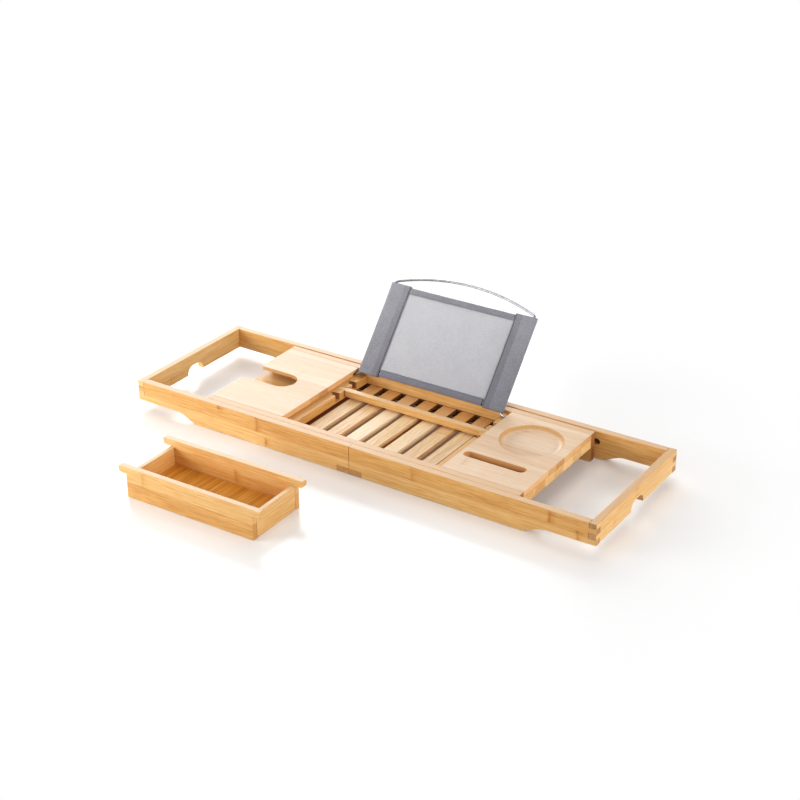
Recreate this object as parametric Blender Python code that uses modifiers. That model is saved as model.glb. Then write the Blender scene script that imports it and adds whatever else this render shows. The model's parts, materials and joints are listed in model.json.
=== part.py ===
"""Extending bamboo bath caddy with a folding book rest and a separate hanging tray.

Metres, +Z up. X runs along the caddy, the front is at -Y and Z = 0 is the surface that it stands on.
The caddy's two arms meet at X = 0. Everything hangs from one empty, which shifts the whole set so
that the origin is under the middle of its outer box. Pieces of the core are placed from its own
middle, and pieces of the book rest from its pivot, with Y along the rest and Z out of its front.
"""
from math import asin, ceil, copysign, cos, pi, radians, sin, sqrt, tan

import bmesh
import bpy
from mathutils import Matrix, Vector

# Fits and edges
GAP = 0.0003                 # between neighbouring pieces
RUN_GAP = 0.0005             # at the tip of a guide pin, and at the end of its travel
CUT = 0.001                  # how far a cutter stands out of what it cuts
EDGE = 0.0006                # eased edge of every wooden piece
EDGE_STEPS = 2
ARC_STEP = radians(20)       # widest turn between two points of an outline
SHARP = radians(35)
ROD_SIDES = 24
WELD = 0.000001

# Whole caddy, closed
LENGTH = 0.700
WIDTH = 0.220
HEIGHT = 0.040

# Arms
RAIL_T = 0.010
RIM_LIFT = 0.011             # underside of the raised ends, which sit on the tub's rim
DEEP_PLAY = 0.008            # from the core's end to where a rail starts to rise
SWEEP_LENGTH = 0.036         # over which it rises
SWEEP_STEPS = 10
FINGERS = 4                  # of the joint at each outer corner
GRIP_WIDTH = 0.033           # finger grip under each end rail
GRIP_HEIGHT = 0.0125
GRIP_RADIUS = 0.011
CROSS_BAR_WIDTH = 0.0186
CROSS_BAR_HEIGHT = 0.008
ARM_TRAVEL = 0.172
GROOVE_Z = 0.0248
GROOVE_HEIGHT = 0.008
GROOVE_DEPTH = 0.005
GROOVE_PAST_CORE = 0.0088

# Core, as it stands between the closed arms
CORE_X = 0.0023
CORE_Y = -0.0011
CORE_LENGTH = 0.478
CORE_PLAY = 0.0015           # beside each side rail, when the core is centred
CORE_RAIL_T = 0.0103
FOOT_LENGTH = 0.038          # full-height end of each side rail
FOOT_RADIUS = 0.003
SLIDE_PLAY = 0.001           # over the arms' cross bars
PIN_RADIUS = 0.0035
PIN_INSETS = (0.011, 0.041)  # from the core's ends
PIN_SEAT = 0.006             # depth of a pin in its side rail

# Boards
WELL_LENGTH = 0.2446
BOARD_T = 0.008
SHELF_T = 0.006
FOOT_GAP = 0.006             # height left for the foot of a stemmed glass
FOOT_WIDTH = 0.084
FOOT_RELIEF = 0.003          # taken off the board's underside over the foot
GLASS_SLOT_RADIUS = 0.020
GLASS_SLOT_DEPTH = 0.0517    # from the board's end to the middle of the round end
GLASS_MOUTH_RADIUS = 0.002
CUP_WELL_INSET = 0.0184      # wood beside the cup recess, towards the well
CUP_END_INSET = 0.0143
CUP_BACK_INSET = 0.0136
CUP_DEPTH = 0.0052
CUP_COVE = 0.0084            # width of the curved wall round the flat floor
CUP_STEPS = 48
PHONE_SLOT_WELL_INSET = 0.0054
PHONE_SLOT_END_INSET = 0.0233
PHONE_SLOT_SHARE = 0.587     # of the way from the board's front edge to the cup
PHONE_SLOT_WIDTH = 0.0135

# Notched rails, along both ends of the well
NOTCHED_REACH = 0.0145       # into the well
NOTCHED_TUCK = 0.010         # under the board
NOTCH_FIRST_Y = 0.0178
NOTCH_PITCH = 0.020
NOTCHES = 3
NOTCH_WIDTH = 0.0085
NOTCH_DEPTH = 0.0135
NOTCH_FLARE = 0.003
NOTCH_FLOOR = 0.0022         # wood left under a notch

# Slats
SLATS = 7
SLAT_GAP = 0.0094
SLATS_X = -0.0026            # their middle, from the core's
SLAT_T = 0.006
BATTEN_WIDTH = 0.004

# Book stop
STOP_NOTCH = 1               # counted from the front, starting at 0
STOP_DEPTH = 0.009
TONGUE_PLAY = 0.0005

# Book rest
REST_X = -0.0032
REST_LEAN = radians(50)
PIVOT_FROM_RAIL = 0.0084
PIVOT_BELOW_TOP = 0.0053
WIRE_RADIUS = 0.0016
WIRE_STEPS = 2
WIRE_INSET = 0.0115          # from the well's ends to the side wires
STUB_REACH = 0.0117          # of a pivot stub past the well's end
HOOK_RADIUS = 0.008
ARCH_CORNER_RADIUS = 0.006
ARCH_TOP = 0.160
ARCH_RADIUS = 0.329
ARCH_SPANS = 10
CROSS_WIRE_RISE = 0.0095
SLEEVE_OVERHANG = 0.0046     # outside a side wire
SLEEVE_WIDTH = 0.0322
SLEEVE_START = 0.0035
SLEEVE_END = 0.1384
PANEL_START = 0.015
PANEL_END = 0.1277
TOP_HEM_END = 0.1365
BOTTOM_HEM_START = 0.005
SLEEVE_T = 0.0048
PANEL_T = 0.002
POCKET_WIDTH = 0.0134        # over each hook, under the board
POCKET_HEIGHT = 0.0045
POCKET_DEPTH = 0.005

# Tray
TRAY_X = -0.19705
TRAY_Y = -0.30664
TRAY_TURN = radians(0.81)
TRAY_LENGTH = 0.194
TRAY_DEPTH = 0.094
TRAY_HEIGHT = 0.042
TRAY_BOARD_T = 0.008
TRAY_END_T = 0.006
EAR_LENGTH = 0.012
EAR_HEIGHT = 0.0095
EAR_TOP_RADIUS = 0.002
EAR_TIP_RADIUS = 0.0045
TRAY_FLOOR_LIFT = 0.003
TRAY_FLOOR_T = 0.005

# Levels and places that follow
HALF_LENGTH = LENGTH / 2
HALF_WIDTH = WIDTH / 2
BOARD_Z = HEIGHT - BOARD_T
SHELF_Z = BOARD_Z - FOOT_GAP - SHELF_T
SLAT_Z = SHELF_Z - SLAT_T
RELIEF_Z = CROSS_BAR_HEIGHT + SLIDE_PLAY
CORE_HALF = CORE_LENGTH / 2
CORE_OUTER = HALF_WIDTH - RAIL_T - CORE_PLAY
CORE_INNER = CORE_OUTER - CORE_RAIL_T
BOARD_HALF = CORE_INNER - GAP
DEEP_END = CORE_HALF + DEEP_PLAY
RIM_START = DEEP_END + SWEEP_LENGTH
GROOVE_END = CORE_HALF + GROOVE_PAST_CORE
WELL_HALF = WELL_LENGTH / 2
CUP_RADIUS = (CORE_HALF - CUP_END_INSET - WELL_HALF - CUP_WELL_INSET) / 2
CUP_X = WELL_HALF + CUP_WELL_INSET + CUP_RADIUS
CUP_Y = BOARD_HALF - CUP_BACK_INSET - CUP_RADIUS
PHONE_SLOT_X = (WELL_HALF + PHONE_SLOT_WELL_INSET, CORE_HALF - PHONE_SLOT_END_INSET)
PHONE_SLOT_Y = (CUP_Y - CUP_RADIUS) * PHONE_SLOT_SHARE - BOARD_HALF * (1 - PHONE_SLOT_SHARE)
NOTCHED_X = WELL_HALF - NOTCHED_REACH
LAYER_X = WELL_HALF + NOTCHED_TUCK
STOP_Y = NOTCH_FIRST_Y + STOP_NOTCH * NOTCH_PITCH
PIVOT_Y = CORE_INNER - PIVOT_FROM_RAIL
PIVOT_Z = HEIGHT - PIVOT_BELOW_TOP
WIRE_HALF = WELL_HALF - WIRE_INSET
STUB_HALF = WELL_HALF + STUB_REACH
FABRIC_HALF = WIRE_HALF + SLEEVE_OVERHANG
PANEL_HALF = FABRIC_HALF - SLEEVE_WIDTH
FRONT_END = TRAY_Y - EAR_LENGTH * sin(TRAY_TURN)
BACK_END = CORE_Y + PIVOT_Y + ARCH_TOP * cos(REST_LEAN) + WIRE_RADIUS
SHIFT_Y = -(FRONT_END + BACK_END) / 2

# Views in which an outline is drawn: from above, from the front (X, Z) and from the side (Y, Z)
ABOVE = Matrix.Identity(3)
FRONT = Matrix(((1, 0, 0), (0, 0, -1), (0, 1, 0)))
SIDE = Matrix(((0, 0, 1), (1, 0, 0), (0, 1, 0)))

# Finishes: colour, roughness and metallic
BAMBOO = ((0.74, 0.42, 0.13), 0.45, 0)
PALE_BAMBOO = ((0.80, 0.58, 0.30), 0.45, 0)
DARK_BAMBOO = ((0.42, 0.13, 0.02), 0.40, 0)
STEEL = ((0.70, 0.70, 0.72), 0.22, 1)
PANEL_FABRIC = ((0.60, 0.62, 0.65), 0.90, 0)
HEM_FABRIC = ((0.30, 0.31, 0.35), 0.90, 0)


def new_collection(name):
    """A collection in the scene."""
    collection = bpy.data.collections.new(name)
    bpy.context.scene.collection.children.link(collection)
    return collection


def new_empty(name, place, parent=None, turn=(0, 0, 0)):
    """An empty that carries the pieces of one moving part."""
    empty = bpy.data.objects.new(name, None)
    empty.location = place
    empty.rotation_euler = turn
    empty.parent = parent
    PARTS.objects.link(empty)
    return empty


def dress(piece, finish):
    """Give a piece a material of its own."""
    colour, roughness, metallic = finish
    material = bpy.data.materials.new(piece.name)
    material.use_nodes = True
    shader = material.node_tree.nodes["Principled BSDF"]
    shader.inputs["Base Color"].default_value = (*colour, 1)
    shader.inputs["Roughness"].default_value = roughness
    shader.inputs["Metallic"].default_value = metallic
    piece.data.materials.append(material)


def add_piece(name, data, place, parent, finish):
    """Place a piece, or a cutter where there is no finish."""
    piece = bpy.data.objects.new(name, data)
    piece.location = place
    piece.parent = parent
    if finish:
        PARTS.objects.link(piece)
        dress(piece, finish)
    else:
        CUTTERS.objects.link(piece)
        piece.hide_render = True
        piece.display_type = "WIRE"
    return piece


def cut(piece, cutter):
    """Take a cutter's shape out of a piece."""
    boolean = piece.modifiers.new(cutter.name, "BOOLEAN")
    boolean.operation = "DIFFERENCE"
    boolean.object = cutter


def block(name, x, y, z, parent, finish=None):
    """A rectangular piece between two values on each axis. A finished one has eased edges."""
    mesh = bpy.data.meshes.new(name)
    form = bmesh.new()
    bmesh.ops.create_cube(form, size=1)
    size = Vector((x[1] - x[0], y[1] - y[0], z[1] - z[0]))
    bmesh.ops.scale(form, vec=size, verts=form.verts)
    form.to_mesh(mesh)
    form.free()
    piece = add_piece(name, mesh, Vector((sum(x), sum(y), sum(z))) / 2, parent, finish)
    if finish:
        bevel = piece.modifiers.new("eased edges", "BEVEL")
        bevel.width = EDGE
        bevel.segments = EDGE_STEPS
    return piece


def peg(name, x, z, radius, y, parent, finish=None):
    """A round peg along Y."""
    mesh = bpy.data.meshes.new(name)
    form = bmesh.new()
    bmesh.ops.create_cone(
        form, cap_ends=True, segments=ROD_SIDES, radius1=radius, radius2=radius, depth=y[1] - y[0]
    )
    bmesh.ops.rotate(form, matrix=Matrix.Rotation(pi / 2, 3, "X"), verts=form.verts)
    form.to_mesh(mesh)
    form.free()
    mesh.shade_smooth()
    mesh.set_sharp_from_angle(angle=SHARP)
    return add_piece(name, mesh, (x, sum(y) / 2, z), parent, finish)


def curve_mesh(curve, view=ABOVE):
    """The welded mesh of a curve, turned into its view."""
    shape = bpy.data.objects.new(curve.name, curve)
    bpy.context.scene.collection.objects.link(shape)
    graph = bpy.context.evaluated_depsgraph_get()
    mesh = bpy.data.meshes.new_from_object(shape.evaluated_get(graph))
    bpy.data.objects.remove(shape)
    form = bmesh.new()
    form.from_mesh(mesh)
    bmesh.ops.remove_doubles(form, verts=form.verts, dist=WELD)
    bmesh.ops.rotate(form, matrix=view, verts=form.verts)
    form.to_mesh(mesh)
    form.free()
    mesh.shade_smooth()
    mesh.set_sharp_from_angle(angle=SHARP)
    return mesh


def plate(name, outlines, view, span, parent, finish=None):
    """A flat piece: closed outlines drawn in a view, and thick from span[0] to span[1] across it."""
    edge = EDGE if finish else 0
    curve = bpy.data.curves.new(name, "CURVE")
    curve.dimensions = "2D"
    curve.fill_mode = "BOTH"
    curve.extrude = (span[1] - span[0]) / 2 - edge
    curve.bevel_depth = edge
    curve.bevel_resolution = EDGE_STEPS - 1
    curve.offset = -edge
    for outline in outlines:
        spline = curve.splines.new("POLY")
        spline.points.add(len(outline) - 1)
        for point, (x, y) in zip(spline.points, outline):
            point.co = (x, y, 0, 1)
        spline.use_cyclic_u = True
    across = Vector(abs(value) for value in view.col[2])
    return add_piece(name, curve_mesh(curve, view), across * sum(span) / 2, parent, finish)


def tube(name, path, radius, parent, finish=None):
    """A round wire along a path of points, with closed ends. A cutter is made a mesh."""
    curve = bpy.data.curves.new(name, "CURVE")
    curve.dimensions = "3D"
    curve.bevel_depth = radius
    curve.bevel_resolution = WIRE_STEPS
    curve.use_fill_caps = True
    spline = curve.splines.new("POLY")
    spline.points.add(len(path) - 1)
    for point, (x, y) in zip(spline.points, path):
        point.co = (x, y, 0, 1)
    return add_piece(name, curve if finish else curve_mesh(curve), (0, 0, 0), parent, finish)


def round_corners(corners):
    """Points of an outline, given as (x, y, radius) at each of its corners."""
    points = []
    for i, (x, y, radius) in enumerate(corners):
        corner = Vector((x, y))
        if not radius:
            points.append(corner)
            continue
        back = (Vector(corners[i - 1][:2]) - corner).normalized()
        ahead = (Vector(corners[(i + 1) % len(corners)][:2]) - corner).normalized()
        half = back.angle(ahead) / 2
        centre = corner + (back + ahead).normalized() * radius / sin(half)
        spoke = corner + back * radius / tan(half) - centre
        turn = copysign(pi - 2 * half, -back.cross(ahead))
        steps = ceil(abs(turn) / ARC_STEP)
        for step in range(steps + 1):
            points.append(centre + Matrix.Rotation(turn * step / steps, 2) @ spoke)
    return [point for i, point in enumerate(points) if (point - points[i - 1]).length > WELD]


def side_span(side, near, far):
    """A span on one side of the middle, from its distances to the middle."""
    return tuple(sorted((side * near, side * far)))


def centred(middle, width):
    """A span about its middle."""
    return middle - width / 2, middle + width / 2


def core_side_rail(name, side, core):
    """A side rail, relieved below between its feet, with a seat for each guide pin."""
    foot_x = CORE_HALF - FOOT_LENGTH
    corners = [
        (-CORE_HALF, HEIGHT, 0),
        (-CORE_HALF, 0, 0),
        (-foot_x, 0, 0),
        (-foot_x, RELIEF_Z, FOOT_RADIUS),
        (foot_x, RELIEF_Z, FOOT_RADIUS),
        (foot_x, 0, 0),
        (CORE_HALF, 0, 0),
        (CORE_HALF, HEIGHT, 0),
    ]
    span = side_span(side, CORE_INNER, CORE_OUTER)
    rail = plate(f"core_{name}_rail", [round_corners(corners)], FRONT, span, core, BAMBOO)
    seat = side_span(side, CORE_OUTER - PIN_SEAT - GAP, CORE_OUTER + CUT)
    for i, x in enumerate(pin_places()):
        cut(rail, peg(f"{name}_pin_seat_{i}", x, GROOVE_Z, PIN_RADIUS + GAP, seat, core))


def pin_places():
    """Where the guide pins stand along a side rail."""
    places = [CORE_HALF - inset for inset in PIN_INSETS]
    return [-x for x in places] + places


def guide_pins(core):
    """Dowels that stand out of the side rails into the arms' grooves."""
    number = 1
    for side in (-1, 1):
        span = side_span(side, CORE_OUTER - PIN_SEAT, CORE_OUTER + GROOVE_DEPTH - RUN_GAP)
        for x in pin_places():
            peg(f"guide_pin_{number}", x, GROOVE_Z, PIN_RADIUS, span, core, BAMBOO)
            number += 1


def pivot_cutters(side, core):
    """The pocket and the groove that hold one pivot stub of the book rest, under a board."""
    reach = WELL_HALF - CUT
    pocket_y = (CORE_INNER - POCKET_WIDTH, CORE_INNER + CUT)
    yield block(
        f"pivot_pocket_{side}",
        side_span(side, reach, WELL_HALF + POCKET_DEPTH),
        pocket_y,
        (BOARD_Z - CUT, BOARD_Z + POCKET_HEIGHT),
        core,
    )
    stub_end = STUB_HALF + side * REST_X + RUN_GAP
    yield block(
        f"pivot_groove_{side}",
        side_span(side, reach, stub_end),
        centred(PIVOT_Y, 2 * (WIRE_RADIUS + GAP)),
        (BOARD_Z - CUT, PIVOT_Z + WIRE_RADIUS + GAP),
        core,
    )


def left_end(core):
    """The board with the open glass slot, and the shelf under it that carries a glass's foot."""
    slot_end = -CORE_HALF + GLASS_SLOT_DEPTH + GLASS_SLOT_RADIUS
    corners = [
        (-WELL_HALF, -BOARD_HALF, 0),
        (-WELL_HALF, BOARD_HALF, 0),
        (-CORE_HALF, BOARD_HALF, 0),
        (-CORE_HALF, GLASS_SLOT_RADIUS, GLASS_MOUTH_RADIUS),
        (slot_end, GLASS_SLOT_RADIUS, GLASS_SLOT_RADIUS),
        (slot_end, -GLASS_SLOT_RADIUS, GLASS_SLOT_RADIUS),
        (-CORE_HALF, -GLASS_SLOT_RADIUS, GLASS_MOUTH_RADIUS),
        (-CORE_HALF, -BOARD_HALF, 0),
    ]
    span = (BOARD_Z, HEIGHT)
    board = plate("left_top_board", [round_corners(corners)], ABOVE, span, core, PALE_BAMBOO)
    for cutter in pivot_cutters(-1, core):
        cut(board, cutter)
    x = (-CORE_HALF, -LAYER_X - GAP)
    relief_x = (-CORE_HALF - CUT, -LAYER_X - GAP)
    relief_z = (BOARD_Z - CUT, BOARD_Z + FOOT_RELIEF)
    cut(board, block("left_foot_relief", relief_x, centred(0, FOOT_WIDTH), relief_z, core))
    shelf_top = SHELF_Z + SHELF_T
    block("left_glass_shelf", x, (-BOARD_HALF, BOARD_HALF), (SHELF_Z, shelf_top), core, BAMBOO)
    for name, side in (("front", -1), ("back", 1)):
        y = side_span(side, FOOT_WIDTH / 2, BOARD_HALF)
        block(f"left_{name}_spacer", x, y, (shelf_top + GAP, BOARD_Z - GAP), core, BAMBOO)


def cup_cutter(core):
    """The round cup recess: a shallow dish, turned, with a flat floor and a hollow wall."""
    floor = HEIGHT - CUP_DEPTH
    radius = (CUP_COVE ** 2 + CUP_DEPTH ** 2) / (2 * CUP_DEPTH)
    rim_turn = asin(CUP_COVE / radius)
    steps = ceil(rim_turn / ARC_STEP)
    profile = [(0, HEIGHT + CUT), (CUP_RADIUS, HEIGHT + CUT)]
    for step in range(steps + 1):
        turn = rim_turn * (1 - step / steps)
        wall_x = CUP_RADIUS - CUP_COVE + radius * sin(turn)
        profile.append((wall_x, floor + radius * (1 - cos(turn))))
    profile.append((0, floor))
    mesh = bpy.data.meshes.new("cup_recess")
    edges = [(i, i + 1) for i in range(len(profile) - 1)]
    mesh.from_pydata([(x, 0, z) for x, z in profile], edges, [])
    cutter = add_piece("cup_recess", mesh, (CUP_X, CUP_Y, 0), core, None)
    screw = cutter.modifiers.new("turn", "SCREW")
    screw.steps = CUP_STEPS
    screw.render_steps = CUP_STEPS
    screw.use_merge_vertices = True
    screw.merge_threshold = WELD
    return cutter


def right_end(core):
    """The board with the cup recess and the phone slot, and the layer under it."""
    slot_radius = PHONE_SLOT_WIDTH / 2
    x = PHONE_SLOT_X
    y = centred(PHONE_SLOT_Y, PHONE_SLOT_WIDTH)
    slot = [(x[i], y[j], slot_radius) for i, j in ((0, 0), (1, 0), (1, 1), (0, 1))]
    board_corners = [(WELL_HALF, -BOARD_HALF), (CORE_HALF, -BOARD_HALF), (CORE_HALF, BOARD_HALF),
                     (WELL_HALF, BOARD_HALF)]
    outlines = [board_corners, round_corners(slot)]
    board = plate("right_top_board", outlines, ABOVE, (BOARD_Z, HEIGHT), core, PALE_BAMBOO)
    span_x = (LAYER_X + GAP, CORE_HALF)
    span_z = (SHELF_Z, BOARD_Z - GAP)
    block("right_lower_board", span_x, (-BOARD_HALF, BOARD_HALF), span_z, core, BAMBOO)
    cut(board, cup_cutter(core))
    for cutter in pivot_cutters(1, core):
        cut(board, cutter)


def notched_rail(name, side, core):
    """A rail along one end of the well, with flared round-ended notches for the book stop."""
    x = side_span(side, NOTCHED_X, LAYER_X)
    z = (SHELF_Z, BOARD_Z - GAP)
    rail = block(f"{name}_notched_rail", x, (-BOARD_HALF, BOARD_HALF), z, core, BAMBOO)
    half = NOTCH_WIDTH / 2
    mouth = half + NOTCH_FLARE
    face = side * NOTCHED_X
    end = side * (NOTCHED_X + NOTCH_DEPTH)
    outside = side * (NOTCHED_X - CUT)
    for i in range(NOTCHES):
        middle = NOTCH_FIRST_Y + i * NOTCH_PITCH
        corners = [
            (outside, middle - mouth, 0),
            (face, middle - mouth, 0),
            (face, middle - half, NOTCH_FLARE),
            (end, middle - half, half),
            (end, middle + half, half),
            (face, middle + half, NOTCH_FLARE),
            (face, middle + mouth, 0),
            (outside, middle + mouth, 0),
        ]
        span = (SHELF_Z + NOTCH_FLOOR, BOARD_Z + CUT)
        cut(rail, plate(f"{name}_notch_{i}", [round_corners(corners)], ABOVE, span, core))


def slats(core):
    """The open slats in the bottom of the well, on two narrow battens along the side rails."""
    room = 2 * NOTCHED_X - (SLATS + 1) * SLAT_GAP
    width = room / SLATS
    for i in range(SLATS):
        start = SLATS_X - NOTCHED_X + SLAT_GAP + i * (width + SLAT_GAP)
        y = (-BOARD_HALF, BOARD_HALF)
        z = (SLAT_Z, SHELF_Z)
        block(f"slat_{i + 1}", (start, start + width), y, z, core, PALE_BAMBOO)
    for name, side in (("front", -1), ("back", 1)):
        y = side_span(side, BOARD_HALF - BATTEN_WIDTH, BOARD_HALF)
        z = (RELIEF_Z, SLAT_Z - GAP)
        block(f"{name}_slat_batten", (-WELL_HALF, WELL_HALF), y, z, core, BAMBOO)


def finger_corners(long, short, first_long):
    """The stepped end of a rail at a finger joint, from its top down."""
    pitch = (HEIGHT - RIM_LIFT) / FINGERS
    corners = []
    top = HEIGHT
    for i in range(FINGERS):
        is_long = (i % 2 == 0) == first_long
        low = HEIGHT - (i + 1) * pitch + (GAP / 2 if is_long else -GAP / 2)
        if i == FINGERS - 1:
            low = RIM_LIFT
        reach = long if is_long else short
        corners += [(reach, top), (reach, low)]
        top = low
    return corners


def arm_side_rail(name, side, way, arm):
    """A grooved rail of an arm: deep beside the core, and raised where it crosses the rim."""
    seam = GAP / 2
    bar_top = CROSS_BAR_HEIGHT + GAP
    bar_side = CROSS_BAR_WIDTH + GAP
    outline = [(seam, bar_top), (seam, HEIGHT)]
    outline += finger_corners(HALF_LENGTH, HALF_LENGTH - RAIL_T - GAP, False)
    for step in range(SWEEP_STEPS + 1):
        share = step / SWEEP_STEPS
        rise = RIM_LIFT * (1 + cos(pi * share)) / 2
        outline.append((RIM_START + (DEEP_END - RIM_START) * share, rise))
    outline += [(bar_side, 0), (bar_side, bar_top)]
    outline = [(side * x, z) for x, z in outline]
    span = side_span(way, HALF_WIDTH - RAIL_T, HALF_WIDTH)
    rail = plate(name, [outline], FRONT, span, arm, BAMBOO)
    pin_travel_end = CORE_HALF - max(PIN_INSETS) - abs(CORE_X) - ARM_TRAVEL
    x = (side * (pin_travel_end - PIN_RADIUS - RUN_GAP), side * GROOVE_END)
    z = centred(GROOVE_Z, GROOVE_HEIGHT)
    corners = [(x[i], z[j], GROOVE_HEIGHT / 2) for i, j in ((0, 0), (1, 0), (1, 1), (0, 1))]
    face = HALF_WIDTH - RAIL_T
    depth = side_span(way, face - CUT, face + GROOVE_DEPTH)
    cut(rail, plate(f"{name}_groove", [round_corners(corners)], FRONT, depth, arm))


def arm_end_rail(name, side, arm):
    """The end rail of an arm, fingered into the side rails, with a finger grip in its lower edge."""
    half = finger_corners(HALF_WIDTH, HALF_WIDTH - RAIL_T - GAP, True)
    grip_top = RIM_LIFT + GRIP_HEIGHT
    right = [(y, z, 0) for y, z in half]
    grip = [(GRIP_WIDTH / 2, RIM_LIFT, 0), (GRIP_WIDTH / 2, grip_top, GRIP_RADIUS)]
    corners = right + grip
    corners += [(-y, z, radius) for y, z, radius in reversed(corners)]
    span = side_span(side, HALF_LENGTH - RAIL_T, HALF_LENGTH)
    plate(name, [round_corners(corners)], SIDE, span, arm, BAMBOO)


def arm(name, side, root):
    """One sliding arm: two side rails, an end rail, and a cross bar let in under their inner ends."""
    empty = new_empty(name, (0, 0, 0), root)
    arm_side_rail(f"{name}_front_rail", side, -1, empty)
    arm_side_rail(f"{name}_back_rail", side, 1, empty)
    arm_end_rail(f"{name}_end_rail", side, empty)
    x = side_span(side, GAP / 2, CROSS_BAR_WIDTH)
    z = (0, CROSS_BAR_HEIGHT)
    block(f"{name}_cross_bar", x, (-HALF_WIDTH, HALF_WIDTH), z, empty, BAMBOO)


def book_stop(core):
    """The bar that keeps a book on its rest, with a round-ended tongue in a notch at each end."""
    empty = new_empty("book_stop", (0, STOP_Y, 0), core)
    body_x = NOTCHED_X - GAP
    tongue_x = NOTCHED_X + NOTCH_DEPTH - TONGUE_PLAY
    tongue = NOTCH_WIDTH / 2 - TONGUE_PLAY
    right = [
        (body_x, -STOP_DEPTH / 2, 0),
        (body_x, -tongue, 0),
        (tongue_x, -tongue, tongue),
        (tongue_x, tongue, tongue),
        (body_x, tongue, 0),
        (body_x, STOP_DEPTH / 2, 0),
    ]
    corners = right + [(-x, -y, radius) for x, y, radius in right]
    span = (SHELF_Z + NOTCH_FLOOR + GAP, BOARD_Z - GAP)
    plate("book_stop_bar", [round_corners(corners)], ABOVE, span, empty, BAMBOO)


def arch_rise(x):
    """How far the rest's top wire is from the pivot axis, along the rest."""
    return ARCH_TOP - ARCH_RADIUS + sqrt(ARCH_RADIUS ** 2 - x ** 2)


def frame_path():
    """The bent wire, from one pivot stub round the arch to the other."""
    end = (STUB_HALF, 0, 0)
    hook = (WIRE_HALF, 0, HOOK_RADIUS)
    corner = (WIRE_HALF, arch_rise(WIRE_HALF), ARCH_CORNER_RADIUS)
    right = [end, hook, corner]
    arch = []
    for step in range(1, ARCH_SPANS):
        x = WIRE_HALF - 2 * WIRE_HALF * step / ARCH_SPANS
        arch.append((x, arch_rise(x), 0))
    left = [(-x, r, radius) for x, r, radius in reversed(right)]
    return round_corners(right + arch + left)


def book_rest(core):
    """The wire rest that leans on the back rail and folds forward over the slats, with its fabric."""
    rest = new_empty("book_rest", (REST_X, PIVOT_Y, PIVOT_Z), core, (REST_LEAN, 0, 0))
    tube("rest_frame_wire", frame_path(), WIRE_RADIUS, rest, STEEL)
    frame_bore = tube("frame_wire_bore", frame_path(), WIRE_RADIUS + GAP, rest)
    cross_half = WIRE_HALF - WIRE_RADIUS - GAP
    cross_path = [(-cross_half, CROSS_WIRE_RISE), (cross_half, CROSS_WIRE_RISE)]
    tube("rest_cross_wire", cross_path, WIRE_RADIUS, rest, STEEL)
    cross_bore = tube("cross_wire_bore", [(-WIRE_HALF, CROSS_WIRE_RISE), (WIRE_HALF, CROSS_WIRE_RISE)],
                      WIRE_RADIUS + GAP, rest)
    thick = centred(0, SLEEVE_T)
    thin = centred(0, PANEL_T)
    width = (-PANEL_HALF, PANEL_HALF)
    for name, side in (("left", -1), ("right", 1)):
        x = side_span(side, PANEL_HALF + GAP, FABRIC_HALF)
        sleeve = block(f"rest_{name}_sleeve", x, (SLEEVE_START, SLEEVE_END), thick, rest, HEM_FABRIC)
        cut(sleeve, frame_bore)
        cut(sleeve, cross_bore)
    block("rest_panel", width, (PANEL_START, PANEL_END), thin, rest, PANEL_FABRIC)
    block("rest_top_hem", width, (PANEL_END + GAP, TOP_HEM_END), thin, rest, HEM_FABRIC)
    hem = block("rest_bottom_hem", width, (BOTTOM_HEM_START, PANEL_START - GAP), thick, rest, HEM_FABRIC)
    cut(hem, cross_bore)


def tray_long_board(name, y, tray):
    """A long side of the tray, with an ear at each top corner that hangs on an arm's rail."""
    ear_z = TRAY_HEIGHT - EAR_HEIGHT
    middle = TRAY_LENGTH / 2
    ear_x = middle + EAR_LENGTH
    right = [
        (middle, 0, 0),
        (middle, ear_z, 0),
        (ear_x, ear_z, EAR_TIP_RADIUS),
        (ear_x, TRAY_HEIGHT, EAR_TOP_RADIUS),
    ]
    corners = right + [(-x, z, radius) for x, z, radius in reversed(right)]
    outline = [(x + middle, z) for x, z in round_corners(corners)]
    plate(name, [outline], FRONT, y, tray, BAMBOO)


def tray(root):
    """The small tray, which stands in front of the caddy."""
    empty = new_empty("tray", (TRAY_X, TRAY_Y, 0), root, (0, 0, TRAY_TURN))
    tray_long_board("tray_front_board", (0, TRAY_BOARD_T), empty)
    tray_long_board("tray_back_board", (TRAY_DEPTH - TRAY_BOARD_T, TRAY_DEPTH), empty)
    y = (TRAY_BOARD_T + GAP, TRAY_DEPTH - TRAY_BOARD_T - GAP)
    end_z = (0, TRAY_HEIGHT - EAR_HEIGHT)
    block("tray_left_end", (0, TRAY_END_T), y, end_z, empty, BAMBOO)
    block("tray_right_end", (TRAY_LENGTH - TRAY_END_T, TRAY_LENGTH), y, end_z, empty, BAMBOO)
    floor_x = (TRAY_END_T + GAP, TRAY_LENGTH - TRAY_END_T - GAP)
    floor_z = (TRAY_FLOOR_LIFT, TRAY_FLOOR_LIFT + TRAY_FLOOR_T)
    block("tray_floor", floor_x, y, floor_z, empty, DARK_BAMBOO)


for item in list(bpy.data.objects):
    bpy.data.objects.remove(item)
PARTS = new_collection("bath_caddy")
CUTTERS = new_collection("cutters")
ROOT = new_empty("bath_caddy", (0, SHIFT_Y, 0))
CORE = new_empty("core", (CORE_X, CORE_Y, 0), ROOT)
core_side_rail("front", -1, CORE)
core_side_rail("back", 1, CORE)
guide_pins(CORE)
left_end(CORE)
right_end(CORE)
notched_rail("left", -1, CORE)
notched_rail("right", 1, CORE)
slats(CORE)
arm("left_arm", -1, ROOT)
arm("right_arm", 1, ROOT)
book_stop(CORE)
book_rest(CORE)
tray(ROOT)
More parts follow.
